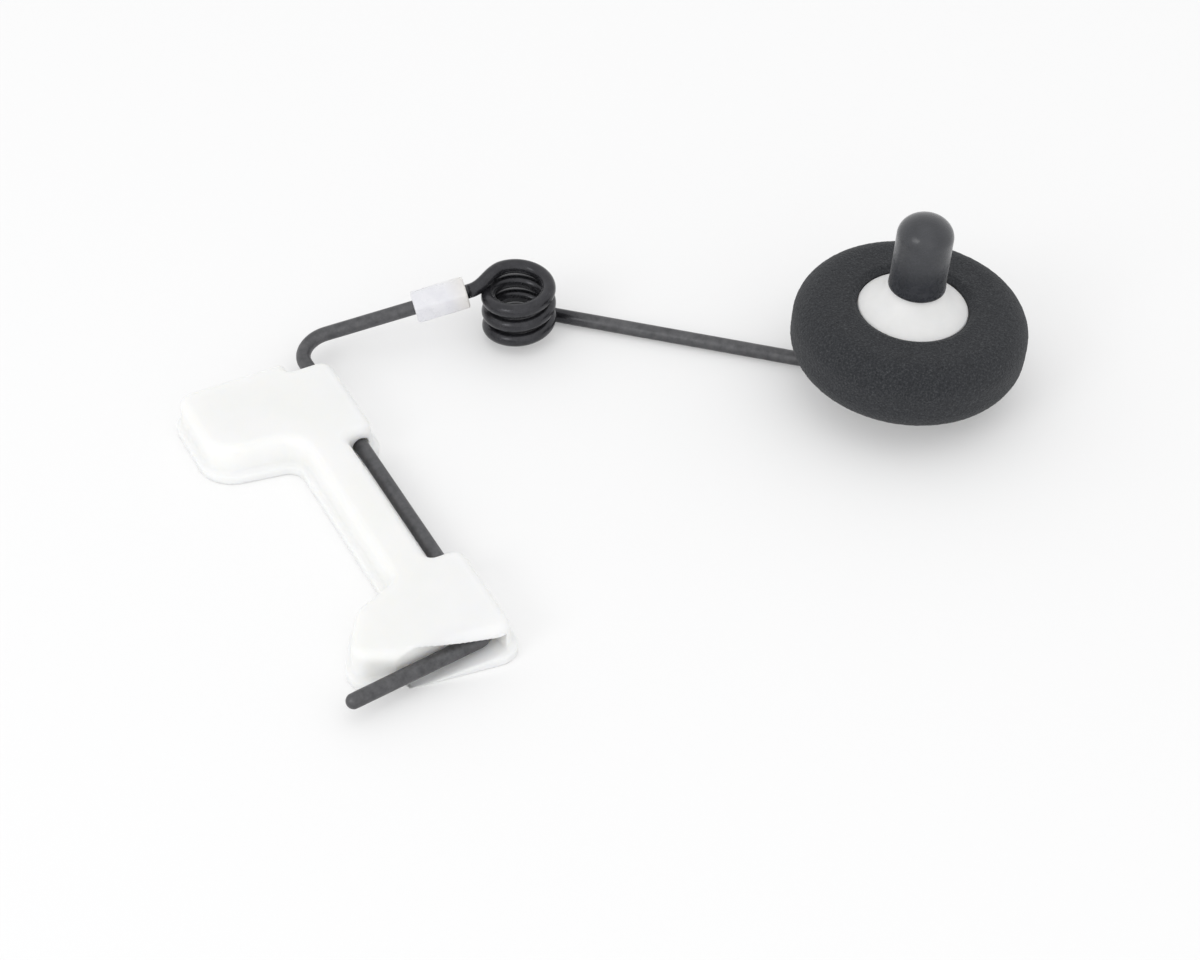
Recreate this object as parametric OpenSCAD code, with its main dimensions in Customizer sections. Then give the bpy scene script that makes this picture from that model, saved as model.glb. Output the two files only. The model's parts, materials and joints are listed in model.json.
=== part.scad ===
// Tailwheel assembly for a small model aircraft: a moulded bracket carries a bent spring
// wire, and the wire carries a foam-tyred wheel behind a torsion coil.
// The origin is on the bracket's flat face, at the middle of its web. +Y runs along the pivot
// towards the arm, +X points to the wheel's side and +Z is up from the flat face.

/* [Spring wire] */
// Diameter of the spring wire
wire_d = 1.6; // [1.2:0.1:2]
// Radial clearance of the wire in the bracket and of the wheel on the axle
running_gap = 0.06; // [0.03:0.01:0.1]
// Centre-line radius of the bend between pivot and arm
arm_bend_r = 3; // [2.4:0.1:3.6]
// Centre-line radius of the bends at the end leg and at the axle
small_bend_r = 1.6; // [1.4:0.1:2]

/* [Bracket] */
// Thickness of the bracket; the pivot runs at half of it
bracket_t = 4.5; // [4:0.1:6]
// Free length of the pivot between the two lobes
lobe_gap = 20.4; // [16:0.2:26]
// Width of the web that joins the lobes
web_w = 4.4; // [3.4:0.1:6]
// Distance from the pivot's axis to the web
web_reach = 1.55; // [1.5:0.05:4]
// Rounding of the bracket's upper edges
edge_r = 1; // [0.4:0.1:1.2]
// Corner radius of the lobes
lobe_corner_r = 1.5; // [1.3:0.1:1.8]
// Corner radius of the web in the gap between the lobes
gap_corner_r = 0.8; // [0.5:0.1:1.2]
// How far the foot stands out round the bracket
foot_out = 0.7; // [0.2:0.1:0.8]
// Height of the foot
foot_h = 1.3; // [0.8:0.1:1.8]

/* [Arm lobe] */
// Length along the pivot
arm_lobe_l = 14.3; // [13:0.1:18]
// Wall from the pivot's axis to the outer side
arm_lobe_side = 1.7; // [1.5:0.1:2.5]
// Reach past the web
arm_lobe_reach = 9.2; // [8:0.1:12]
// Length of the tongue where it leaves the web
tongue_l = 12.2; // [11:0.1:13]
// How much shorter the tongue is at its outer end
tongue_slant = 1.6; // [0.5:0.1:2.5]
// Corner radius of the tongue's outer end
tongue_r = 3.4; // [2:0.1:4]
// Radius of the hollow between tongue and web
tongue_root_r = 2.6; // [1.5:0.1:3.5]
// How much shorter the lobe is round the pivot
arm_step = 1.6; // [1.5:0.1:2.4]
// Distance from the pivot's axis to that step
arm_step_x = 2.9; // [2.2:0.1:4]
// Rounding of the step's corners
arm_step_r = 0.5; // [0.2:0.1:0.6]

/* [Leg lobe] */
// Length along the pivot
leg_lobe_l = 12.6; // [11.5:0.1:15]
// Wall from the pivot's axis to the outer side
leg_lobe_side = 2; // [1.5:0.1:2.5]
// Reach past the web
leg_lobe_reach = 8; // [7:0.1:9]
// Distance from the gap to where the lobe leaves the web
leg_root_y = 1.2; // [0.6:0.1:1.8]
// Radius of the hollow between lobe and web
leg_root_r = 1.4; // [1:0.1:2]
// Distance of the lobe's shoulder from its tip, across the pivot
leg_shoulder_x = 3; // [2:0.1:4]
// Distance from the gap to the lobe's shoulder
leg_shoulder_y = 3.4; // [2.8:0.1:4]
// Distance of the lobe's tip from its end face
leg_tip_y = 3.6; // [3:0.1:4.2]
// Distance of the lobe's heel from its tip, across the pivot
leg_heel_x = 4; // [3.5:0.1:5]
// Distance of the lobe's heel from its end face
leg_heel_y = 1.6; // [1:0.1:2]
// Rounding of the lobe's shoulder and heel
leg_round_r = 3; // [2:0.1:3.2]
// Rounding of the lobe's tip
leg_tip_r = 1.8; // [1.4:0.1:2]

/* [End leg] */
// Length of the end leg from the pivot's axis to its tip
leg_l = 16; // [12:0.1:18]
// Outward lean of the end leg from square to the pivot, in degrees
leg_lean = 7; // [4:0.5:10]
// Distance of the leg's corner inside the lobe's end face
leg_inset = 1.9; // [1.7:0.1:2.4]
// Swing of the wire to each side of rest, in degrees
swing = 8; // [5:1:16]
// Clearance of the end leg in its notch
notch_gap = 0.15; // [0.1:0.05:0.4]

/* [Arm and sleeve] */
// Length of straight wire between the arm lobe's far side and the arm's bend
arm_exit = 0.96; // [0.8:0.02:3]
// Length of the arm from the corner of its bend to the coil's lead-in
arm_l = 20.3; // [18:0.1:24]
// How far the arm leans back towards the bracket, in degrees
arm_lean = 14; // [5:1:20]
// Length of the sleeve
sleeve_l = 6; // [4:0.1:8]
// Sleeve's width across its flats
sleeve_flats = 3.4; // [2.8:0.1:4]
// Distance from the sleeve to the coil's lead-in
sleeve_back = 0.3; // [0.1:0.1:2]

/* [Coil and strut] */
// Mean diameter of the coil
coil_d = 6.7; // [5.8:0.1:9]
// Gap between the coil's turns
coil_gap = 0.4; // [0.1:0.05:0.6]
// Whole turns in the coil
coil_turns = 3; // [2:1:5]
// Length of the lead-in from the arm to the coil
lead_l = 4.2; // [3.6:0.1:6]
// Rise of the lead-in above the arm's end
lead_rise = 1.1; // [0.8:0.05:1.3]
// Direction of the lead-in's chord, in degrees from the X axis
lead_dir = 10.5; // [8:0.5:14]
// Direction of the coil where the lead-in meets it, in degrees from the X axis
coil_start_dir = 12; // [10:1:16]
// Length of the coil's straight lead-out
lead_out_l = 1.5; // [0.5:0.1:4]
// Direction of the strut, in degrees from the X axis
strut_dir = -43.5; // [-60:0.5:-25]
// Length of the strut from the coil to the axle
strut_l = 42.6; // [36:0.2:52]
// Lean of the axle away from the coil, in degrees
axle_lean = 3; // [0:0.5:6]

/* [Wheel] */
// Diameter of the tyre
tyre_d = 25.4; // [23:0.1:30]
// Width of the tyre
tyre_w = 8.2; // [7.8:0.1:9.4]
// Rounding of the tyre's shoulders
shoulder_r = 3.3; // [2.4:0.1:3.6]
// Distance from the strut to the tyre
tyre_clear = 1.6; // [1.2:0.1:2.4]
// Width of the tyre's sloping lip round the hub
lip_w = 0.7; // [0.5:0.1:1.2]
// Height of the tyre's wall beside the flange, above the flange
lip_step = 0.2; // [0.1:0.05:0.4]
// Rounding of the tyre's lip
lip_r = 0.5; // [0.3:0.1:0.8]
// Diameter of the hub's flanges
flange_d = 11.9; // [11:0.1:13]
// Thickness of the hub's flanges
flange_t = 0.8; // [0.6:0.1:1.2]
// Width over the hub's flanges
hub_w = 6.8; // [6:0.1:7.4]
// Diameter of the barrel that carries the tyre
barrel_d = 8.4; // [7.6:0.1:9]
// Diameter of the spigot that joins the hub's halves
spigot_d = 6.7; // [5:0.1:7]
// Gap round and under the spigot, and round the flanges
hub_gap = 0.05; // [0.02:0.01:0.1]
// Height of the outer flange's dome
dome_h = 2.7; // [1.5:0.1:3.5]
// Diameter of the dome's flat top
dome_top_d = 5.4; // [4:0.1:6]
// Rounding of the outer flange's rim
rim_r = 0.4; // [0.2:0.1:0.5]
// Diameter of the boss on the strut side
boss_d = 4.4; // [3.6:0.1:6]
// Play of the wheel on its axle, at each end
axle_play = 0.25; // [0.15:0.05:0.4]

/* [Axle cap] */
// Diameter of the cap
cap_d = 6; // [5:0.1:7]
// Height of the cap
cap_h = 8.8; // [7.5:0.1:10]
// Rise of the cap's domed top
cap_dome_h = 2.3; // [1.4:0.1:2.9]
// How far the cap's base flares out
cap_flare = 0.1; // [0.05:0.05:0.3]
// Height of the cap's flare
cap_flare_h = 1.2; // [0.6:0.1:2]
// Rounding of the cap's lower edge
cap_edge_r = 0.15; // [0.1:0.05:0.3]
// Thickness of the cap over the axle's end
cap_end = 2.2; // [1.2:0.1:3]

/* [Hidden] */
$fn = 64;
// Rounding of a corner that looks sharp
sharp_r = 0.05;
// How far a cut runs past the faces that it opens
cut_margin = 1;
// How far a bend reaches into the straight wire, in degrees, and how much thinner it is
bend_overlap = 4;
bend_slack = 0.01;
// Share of the dome's rise and run by which its flank is hollow
dome_hollow = 0.07;
// Share of the lead-in's length that its curve handles take
lead_pull = 0.42;
// Straight length at the start of the lead-in, which keeps its end square
lead_stub = 0.2;

// Length that a bend takes off each side of its corner
function bend_cut(r, angle) = r * tan(angle / 2);

// Places on the bracket
wire_r = wire_d / 2;
bore_r = wire_r + running_gap;
pivot_x = web_w / 2 + web_reach;
pivot_z = bracket_t / 2;
arm_lobe_y = lobe_gap / 2;
leg_lobe_y = -lobe_gap / 2;
arm_end_y = arm_lobe_y + arm_lobe_l;
leg_end_y = leg_lobe_y - leg_lobe_l;

// Places along the wire
leg_turn = 90 - leg_lean;
leg_cut = bend_cut(small_bend_r, leg_turn);
leg_corner = [pivot_x, leg_end_y + leg_inset, pivot_z];
notch_depth = wire_r + notch_gap;
// Length of the leg's bend inside the lobe, and how far it leaves the pivot's axis there
bend_inside = max(0, leg_cut - notch_depth * (cos(leg_lean) - sin(leg_lean)));
bend_drift = small_bend_r - sqrt(small_bend_r ^ 2 - bend_inside ^ 2);
arm_turn = 90 + arm_lean;
arm_cut = bend_cut(arm_bend_r, arm_turn);
arm_corner = [pivot_x, arm_end_y + arm_exit + arm_cut, pivot_z];
coil_r = coil_d / 2;
coil_z = wire_r;
start_angle = 90 + coil_start_dir;
end_angle = 90 + strut_dir;
coil_sweep = 360 * coil_turns + start_angle - end_angle;
coil_top_z = coil_z + (wire_d + coil_gap) * coil_sweep / 360;
arm_rise = asin((coil_top_z - lead_rise - pivot_z) / (arm_l * cos(arm_lean)));
arm_dir = [cos(arm_lean) * cos(arm_rise), -sin(arm_lean), cos(arm_lean) * sin(arm_rise)];
arm_end = arm_corner + arm_l * arm_dir;
coil_start = [arm_end.x + lead_l * cos(lead_dir), arm_end.y + lead_l * sin(lead_dir), coil_top_z];
coil_xy = [coil_start.x - coil_r * cos(start_angle), coil_start.y - coil_r * sin(start_angle)];
strut_start = [coil_xy.x + coil_r * cos(end_angle), coil_xy.y + coil_r * sin(end_angle), coil_z];
strut_way = [cos(strut_dir), sin(strut_dir), 0];
axle_foot = strut_start + strut_l * strut_way;
axle_turn = 90 - axle_lean;
axle_cut = bend_cut(small_bend_r, axle_turn);

// Heights of the wheel along the axle, from where it would meet the floor, and its radii
tyre_z = wire_d + tyre_clear;
wheel_z = tyre_z + tyre_w / 2;
flange_top = wheel_z + hub_w / 2;
flange_low = wheel_z - hub_w / 2;
boss_low = coil_z + axle_cut + axle_play;
hub_top = flange_top + dome_h;
spigot_z = flange_low + flange_t + 2 * hub_gap;
flange_r = flange_d / 2;
barrel_r = barrel_d / 2;
spigot_r = spigot_d / 2;
cap_z = hub_top + axle_play;
cap_top = cap_z + cap_h;
axle_top = cap_top - cap_end;

// Unit vector, and a vector turned by an angle in the plane
function unit(v) = v / norm(v);
function turned(v, a) = [v.x * cos(a) - v.y * sin(a), v.x * sin(a) + v.y * cos(a)];

// Corner moved outwards by a distance, on an outline that runs anticlockwise
function grown_corner(a, b, c, out) =
    let (u = unit(b - a), v = unit(c - b), n = turned(u, -90), m = turned(v, -90))
    b + out * (n + m) / (1 + n * m);

// Points of one rounded corner; a right turn is a hollow corner
function corner_arc(a, b, c, r, steps) =
    let (u = unit(b - a), v = unit(c - b), bend = atan2(u.x * v.y - u.y * v.x, u * v),
         from = b - u * bend_cut(r, abs(bend)), centre = from + turned(u, 90 * sign(bend)) * r)
    [for (i = [0:steps]) centre + turned(from - centre, bend * i / steps)];

// Rounded outline through [x, y, radius] corners, grown outwards by a distance
function rounded(corners, out = 0, steps = 6) =
    let (n = len(corners), p = [for (k = corners) [k.x, k.y]],
         q = [for (i = [0:n - 1]) grown_corner(p[(i + n - 1) % n], p[i], p[(i + 1) % n], out)])
    [for (i = [0:n - 1])
        let (a = q[(i + n - 1) % n], b = q[i], c = q[(i + 1) % n],
             left = (b - a).x * (c - b).y - (b - a).y * (c - b).x > 0,
             r = max(sharp_r, corners[i].z + (left ? out : -out)))
        each corner_arc(a, b, c, r, steps)];

// Round wire swept along a path that is never upright, with ends square to the path
module swept_wire(path, sides = 12) {
    last = len(path) - 1;
    rings = [for (k = [0:last])
        let (t = unit(path[min(k + 1, last)] - path[max(k - 1, 0)]),
             across = unit(cross(t, [0, 0, 1])), up = cross(across, t))
        [for (i = [0:sides - 1])
            let (a = 360 * i / sides) path[k] + wire_r * (cos(a) * across + sin(a) * up)]];
    polyhedron(
        points = [for (ring = rings) each ring],
        faces = concat(
            [[for (i = [0:sides - 1]) i]],
            [for (k = [0:last - 1], i = [0:sides - 1])
                let (low = k * sides, high = low + sides, j = (i + 1) % sides)
                [low + i, high + i, high + j, low + j]],
            [[for (i = [sides - 1:-1:0]) last * sides + i]]),
        convexity = 8);
}

// Straight wire along +X
module wire(length) {
    rotate([0, 90, 0]) cylinder(h = length, r = wire_r);
}

// Straight wire along +X with a rounded far end
module round_ended_wire(length) {
    tip_steps = 6;
    rotate([0, 90, 0]) rotate_extrude() polygon(concat(
        [[0, 0], [wire_r, 0]],
        [for (i = [0:tip_steps])
            let (a = 90 * i / tip_steps) [wire_r * cos(a), length - wire_r * (1 - sin(a))]]));
}

// Bend in the XY plane: it starts at the origin along +X and turns left by an angle. It is a
// hair thinner than the straight wire and reaches into it at both ends, so that they join.
module wire_bend(r, angle) {
    translate([0, r, 0]) rotate(-90 - bend_overlap) rotate_extrude(angle = angle + 2 * bend_overlap)
        translate([r, 0]) circle(r = wire_r - bend_slack);
}

// Corners of the bracket's outline, each [x, y, radius], anticlockwise
function bracket_corners() =
    let (web_l = -web_w / 2, web_r = web_w / 2,
         arm_x = pivot_x + arm_lobe_side, tongue_x = web_l - arm_lobe_reach, tongue_y = arm_end_y - tongue_l,
         step_x = pivot_x - arm_step_x, step_r = min(arm_step_r, arm_step - edge_r - 2 * sharp_r),
         leg_x = pivot_x + leg_lobe_side, tip_x = web_l - leg_lobe_reach)
    [[arm_x, arm_lobe_y, lobe_corner_r],
     [arm_x, arm_end_y - arm_step, lobe_corner_r],
     [step_x, arm_end_y - arm_step, step_r],
     [step_x, arm_end_y, step_r],
     [tongue_x, arm_end_y, lobe_corner_r],
     [tongue_x, tongue_y + tongue_slant, tongue_r],
     [web_l, tongue_y, tongue_root_r],
     [web_l, leg_lobe_y - leg_root_y, leg_root_r],
     [tip_x + leg_shoulder_x, leg_lobe_y - leg_shoulder_y, leg_round_r],
     [tip_x, leg_end_y + leg_tip_y, leg_tip_r],
     [tip_x + leg_heel_x, leg_end_y + leg_heel_y, leg_round_r],
     [leg_x, leg_end_y, lobe_corner_r],
     [leg_x, leg_lobe_y, lobe_corner_r],
     [web_r, leg_lobe_y, gap_corner_r],
     [web_r, arm_lobe_y, gap_corner_r]];

// Bracket's solid body: a low foot, and a wall with a rounded upper edge
module bracket_body() {
    linear_extrude(foot_h) polygon(rounded(bracket_corners(), foot_out));
    minkowski() {
        linear_extrude(bracket_t - edge_r) polygon(rounded(bracket_corners(), -edge_r));
        difference() {
            sphere(r = edge_r, $fn = 20);
            translate([0, 0, -edge_r]) cube(2 * edge_r, center = true);
        }
    }
}

// Fan-shaped notch that the end leg swings in, open at the lobe's end and along the leg
module leg_notch() {
    half_h = notch_depth / cos(swing);
    far = leg_l + cut_margin;
    far_h = half_h + far * tan(swing);
    translate(leg_corner) rotate(leg_lean) translate([0, notch_depth, 0]) rotate([90, 0, 0])
        linear_extrude(notch_depth + leg_inset + 2 * far * sin(leg_lean) + cut_margin)
            polygon([[notch_depth, -half_h], [notch_depth, half_h], [0, half_h],
                     [-far, far_h], [-far, -far_h], [0, -half_h]]);
}

// Round cut along the pivot, from one place to another
module pivot_cut(from_y, to_y, r) {
    translate([pivot_x, from_y, pivot_z]) rotate([-90, 0, 0]) cylinder(h = to_y - from_y, r = r);
}

module mount_bracket() {
    color("white") difference() {
        bracket_body();
        pivot_cut(leg_end_y, arm_end_y + foot_out + cut_margin, bore_r);
        // Behind the notch the bore widens, because the leg's bend starts inside the lobe.
        pivot_cut(leg_corner.y, leg_corner.y + leg_cut, notch_depth + bend_drift);
        leg_notch();
    }
}

module steering_wire() {
    color("dimgray") union() {
        // End leg, with a rounded tip, and its bend into the pivot
        translate(leg_corner) rotate(180 + leg_lean) translate([leg_cut, 0, 0])
            round_ended_wire(leg_l - leg_cut);
        translate(leg_corner + [0, leg_cut, 0]) rotate(-90) mirror([0, 1, 0])
            wire_bend(small_bend_r, leg_turn);
        // Pivot through both lobes
        translate(leg_corner + [0, leg_cut, 0]) rotate(90)
            wire(arm_corner.y - arm_cut - leg_corner.y - leg_cut);
        // Bend into the arm, in the arm's own sloping plane
        translate(arm_corner) rotate([0, -arm_rise, 0]) {
            translate([0, -arm_cut, 0]) rotate(90) mirror([0, 1, 0]) wire_bend(arm_bend_r, arm_turn);
            rotate(-arm_lean) translate([arm_cut, 0, 0]) wire(arm_l - arm_cut);
        }
    }
}

module arm_sleeve() {
    color("ghostwhite") translate(arm_corner) rotate([0, -arm_rise, 0]) rotate(-arm_lean)
        translate([arm_l - sleeve_back - sleeve_l, 0, 0]) rotate([0, 90, 0]) difference() {
            rotate(30) cylinder(h = sleeve_l, d = sleeve_flats / cos(30), $fn = 6);
            translate([0, 0, -cut_margin]) cylinder(h = sleeve_l + 2 * cut_margin, r = wire_r);
        }
}

// Coil's centre line: a curved lead-in, the turns and a straight lead-out
function coil_path() =
    let (lead_steps = 8, turn_steps = round(coil_sweep / 15), pull = lead_pull * lead_l,
         coil_tangent = [cos(coil_start_dir), sin(coil_start_dir), 0],
         lead_start = arm_end + lead_stub * arm_dir,
         handle_a = arm_end + pull * arm_dir, handle_b = coil_start - pull * coil_tangent)
    concat(
        [arm_end],
        [for (i = [0:lead_steps - 1])
            let (t = i / lead_steps, s = 1 - t)
            s ^ 3 * lead_start + 3 * s ^ 2 * t * handle_a + 3 * s * t ^ 2 * handle_b + t ^ 3 * coil_start],
        [for (i = [0:turn_steps])
            let (t = i / turn_steps, a = start_angle - coil_sweep * t)
            [coil_xy.x + coil_r * cos(a), coil_xy.y + coil_r * sin(a), coil_top_z + (coil_z - coil_top_z) * t]],
        [strut_start + lead_out_l * strut_way / 2, strut_start + lead_out_l * strut_way]);

module coil_spring() {
    color("dimgray") swept_wire(coil_path());
}

module wheel_strut() {
    color("dimgray") translate(strut_start) rotate(strut_dir) union() {
        translate([lead_out_l, 0, 0]) wire(strut_l - axle_cut - lead_out_l);
        translate([strut_l - axle_cut, 0, 0]) rotate([90, 0, 0]) wire_bend(small_bend_r, axle_turn);
        translate([strut_l, 0, 0]) rotate([0, axle_lean, 0]) translate([0, 0, axle_cut])
            cylinder(h = axle_top - coil_z - axle_cut, r = wire_r);
    }
}

// A solid of revolution about the leaning axle
module on_axle() {
    translate(axle_foot) rotate(strut_dir) rotate([0, axle_lean, 0]) translate([0, 0, -coil_z])
        rotate_extrude() children();
}

module hub_outer() {
    dome_steps = 8;
    dome_run = flange_r - dome_top_d / 2;
    under_rim = [flange_r, flange_top - flange_t];
    dome = [for (i = [0:dome_steps])
        let (t = i / dome_steps, hollow = dome_hollow * sin(180 * t))
        [flange_r - dome_run * (t + hollow), flange_top + dome_h * (t - hollow)]];
    color("whitesmoke") on_axle() polygon(concat(
        [[bore_r, spigot_z], [spigot_r, spigot_z], [spigot_r, wheel_z], [barrel_r, wheel_z],
         [barrel_r, flange_top - flange_t], under_rim],
        corner_arc(under_rim, dome[0], dome[1], rim_r, 4),
        [for (i = [1:dome_steps]) dome[i]],
        [[bore_r, hub_top]]));
}

module hub_inner() {
    socket_r = spigot_r + hub_gap;
    socket_z = spigot_z - hub_gap;
    boss_r = boss_d / 2;
    color("whitesmoke") on_axle() polygon([
        [bore_r, boss_low], [boss_r, boss_low], [boss_r, flange_low], [flange_r, flange_low],
        [flange_r, flange_low + flange_t], [barrel_r, flange_low + flange_t], [barrel_r, wheel_z],
        [socket_r, wheel_z], [socket_r, socket_z], [bore_r, socket_z]]);
}

module foam_tyre() {
    tread_r = tyre_d / 2;
    recess_r = flange_r + hub_gap;
    lip_x = recess_r + lip_w;
    side = tyre_w / 2;
    seat = hub_w / 2 - flange_t;
    lip = hub_w / 2 + lip_step;
    shoulder = min(shoulder_r, tread_r - lip_x - lip_r, side - sharp_r);
    half = [[recess_r, seat, sharp_r], [recess_r, lip, lip_step], [lip_x, side, lip_r], [tread_r, side, shoulder]];
    mirrored = [for (k = half) [k.x, -k.y, k.z]];
    corners = concat([[barrel_r, -seat, sharp_r]], mirrored, [for (i = [3:-1:0]) half[i]],
                     [[barrel_r, seat, sharp_r]]);
    color("black") on_axle() translate([0, wheel_z]) polygon(rounded(corners));
}

module axle_cap() {
    dome_steps = 10;
    side_r = cap_d / 2;
    brow_z = cap_top - cap_dome_h;
    inner = [wire_r, cap_z];
    base = [side_r + cap_flare, cap_z];
    waist = [side_r, cap_z + cap_flare_h];
    color("darkslategray") on_axle() polygon(concat(
        [inner],
        corner_arc(inner, base, waist, cap_edge_r, 3),
        corner_arc(base, waist, [side_r, brow_z], cap_flare_h / 2, 3),
        [for (i = [0:dome_steps])
            let (a = 90 * i / dome_steps) [side_r * cos(a), brow_z + cap_dome_h * sin(a)]],
        [[0, axle_top], [wire_r, axle_top]]));
}

mount_bracket();
steering_wire();
arm_sleeve();
coil_spring();
wheel_strut();
hub_outer();
hub_inner();
foam_tyre();
axle_cap();
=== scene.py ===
# Looks of the tailwheel assembly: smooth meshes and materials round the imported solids.
import json
import math

import bmesh
import bpy
from mathutils import Matrix, Vector, noise

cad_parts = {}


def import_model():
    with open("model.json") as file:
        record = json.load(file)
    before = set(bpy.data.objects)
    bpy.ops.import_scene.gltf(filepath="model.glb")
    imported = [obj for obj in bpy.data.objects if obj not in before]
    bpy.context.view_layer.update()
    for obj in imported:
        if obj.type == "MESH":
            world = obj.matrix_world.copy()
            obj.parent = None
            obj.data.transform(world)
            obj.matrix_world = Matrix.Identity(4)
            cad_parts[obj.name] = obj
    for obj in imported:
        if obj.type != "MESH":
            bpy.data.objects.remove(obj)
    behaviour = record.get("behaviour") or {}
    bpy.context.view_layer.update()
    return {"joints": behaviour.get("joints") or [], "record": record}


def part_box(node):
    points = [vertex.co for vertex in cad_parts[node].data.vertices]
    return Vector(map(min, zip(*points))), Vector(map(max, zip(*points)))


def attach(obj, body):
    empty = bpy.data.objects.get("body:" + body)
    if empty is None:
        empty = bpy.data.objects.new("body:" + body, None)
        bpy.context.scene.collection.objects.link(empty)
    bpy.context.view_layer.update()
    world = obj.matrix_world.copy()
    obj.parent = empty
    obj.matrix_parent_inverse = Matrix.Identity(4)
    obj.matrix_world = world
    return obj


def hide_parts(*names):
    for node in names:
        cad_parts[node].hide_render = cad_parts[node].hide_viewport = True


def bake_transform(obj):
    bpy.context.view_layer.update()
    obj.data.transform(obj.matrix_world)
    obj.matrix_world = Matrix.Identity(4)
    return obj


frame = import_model()

MM = 0.001

# Camera, as the photograph was taken
VIEW_TARGET = Vector((24.67, -3.87, 0)) * MM
VIEW_AZIMUTH = math.radians(-27.5)
VIEW_ELEVATION = math.radians(42.4)
VIEW_DISTANCE = 262 * MM
LENS_MM = 75
SENSOR_MM = 36
CLIP_NEAR = 0.01
CLIP_FAR = 20

# Spring wire
ARM_BEND_R = 3 * MM
SMALL_BEND_R = 1.6 * MM
LEG_L = 16 * MM
WIRE_SIDES = 32
WIRE_STEP = 0.6 * MM
BEND_STEPS = 14
ARM_BEND_STEPS = 20
TIP_STEPS = 8

# Coil and strut
COIL_R = 3.35 * MM
COIL_TURNS = 3
COIL_START = math.radians(102)
STRUT_DIR = math.radians(-43.5)
LEAD_PULL = 1.764 * MM
LEAD_OUT_L = 1.5 * MM
LEAD_STEPS = 16
COIL_STEPS = 220
LEAD_OUT_STEPS = 4
COIL_DARK_REACH = 11 * MM

# Sleeve on the arm
SLEEVE_L = 6 * MM
SLEEVE_FLATS = 3.4 * MM
SLEEVE_BACK = 0.3 * MM
SLEEVE_BEVEL = 0.28 * MM
SLEEVE_FLAT_AREA = 2 * MM * MM
SLEEVE_SIDES = 6
SLEEVE_BEVEL_STEPS = 4
SLEEVE_SHARP = math.radians(40)

# Bracket
LOBE_GAP = 20.4 * MM
WEB_W = 4.4 * MM
EDGE_R = 1 * MM
LOBE_CORNER_R = 1.5 * MM
GAP_CORNER_R = 0.8 * MM
FOOT_OUT = 0.7 * MM
FOOT_H = 1.3 * MM
FOOT_BLEND = 0.5 * MM
FOOT_EDGE = 0.15 * MM
ARM_LOBE_L = 14.3 * MM
ARM_LOBE_SIDE = 1.7 * MM
ARM_LOBE_REACH = 9.2 * MM
TONGUE_L = 12.2 * MM
TONGUE_SLANT = 1.6 * MM
TONGUE_R = 3.4 * MM
TONGUE_ROOT_R = 2.6 * MM
ARM_STEP = 1.6 * MM
ARM_STEP_X = 2.9 * MM
ARM_STEP_R = 0.5 * MM
LEG_LOBE_L = 12.6 * MM
LEG_LOBE_SIDE = 2 * MM
LEG_LOBE_REACH = 8 * MM
LEG_ROOT_Y = 1.2 * MM
LEG_ROOT_R = 1.4 * MM
LEG_SHOULDER_X = 3 * MM
LEG_SHOULDER_Y = 3.4 * MM
LEG_TIP_Y = 3.6 * MM
LEG_HEEL_X = 4 * MM
LEG_HEEL_Y = 1.6 * MM
LEG_ROUND_R = 3 * MM
LEG_TIP_R = 1.8 * MM
NOTCH_GAP = 0.15 * MM
BORE_R = 0.92 * MM
BORE_SIDES = 48
BORE_INSET = 1 * MM
CUT_OVER = 1 * MM
NOTCH_OUT = 8 * MM
FOOT_STEPS = 6
EDGE_STEPS = 10
BRACKET_VOXEL = 0.08 * MM
RELAX_FACTOR = 0.5
RELAX_PASSES = 32
BRACKET_THIN = 0.3

# Wheel and cap
FLANGE_R = 5.95 * MM
FLANGE_T = 0.8 * MM
HUB_W = 6.8 * MM
BARREL_R = 4.2 * MM
DOME_H = 2.7 * MM
DOME_TOP_R = 2.7 * MM
DOME_HOLLOW = 0.07
RIM_R = 0.4 * MM
HUB_BORE_R = 0.86 * MM
BOSS_R = 2.2 * MM
SPIGOT_R = 3.35 * MM
AXLE_PLAY = 0.25 * MM
TYRE_R = 12.7 * MM
TYRE_HALF_W = 4.1 * MM
SHOULDER_R = 3.3 * MM
LIP_W = 0.7 * MM
LIP_STEP = 0.2 * MM
LIP_R = 0.5 * MM
HUB_GAP = 0.05 * MM
CAP_R = 3 * MM
CAP_H = 8.8 * MM
CAP_DOME_H = 2.3 * MM
CAP_FLARE = 0.1 * MM
CAP_FLARE_H = 1.2 * MM
CAP_EDGE_R = 0.15 * MM
CAP_END = 2.2 * MM
SHARP_R = 0.05 * MM
BOSS_EDGE_R = 0.2 * MM
BOSS_ROOT_R = 0.3 * MM
INNER_RIM_R = 0.25 * MM
WHEEL_SIDES = 128
DOME_STEPS = 24
RIM_REACH = 4  # in steps of the dome
RIM_STEPS = 10
HUB_CORNER_STEPS = 4
HUB_SHARP = math.radians(35)
CAP_STEPS = 24
CAP_CORNER_STEPS = 6
CAP_SHARP = math.radians(50)
TYRE_SIDES = 340
TYRE_CORNER_STEPS = 10
TYRE_STEP = 0.25 * MM
FOAM_DEPTH = 0.035 * MM
FOAM_COARSE = 0.45 * MM
FOAM_FINE = 0.2 * MM
FOAM_FINE_SHARE = 0.6
MERGE_GAP = 0.001 * MM

# Stage: lamps as place, size across and power in watts
FLOOR_SIZE = 3.0
FLOOR_LOW = -0.02 * MM
FLOOR_COLOUR = (0.97, 0.97, 0.972, 1)
FLOOR_CLEAR = 0.22
SKY_LIGHT = 0.88
SKY_SEEN = 1.0
LAMP_TARGET = Vector((0.03, 0, 0))
LAMPS = {"overhead": ((0.06, -0.14, 0.8), 0.9, 0.35),
         "left": ((-0.6, -0.18, 0.42), 0.3, 0.65),
         "front": ((-0.3, -0.6, 0.32), 1.0, 0.5)}

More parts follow.
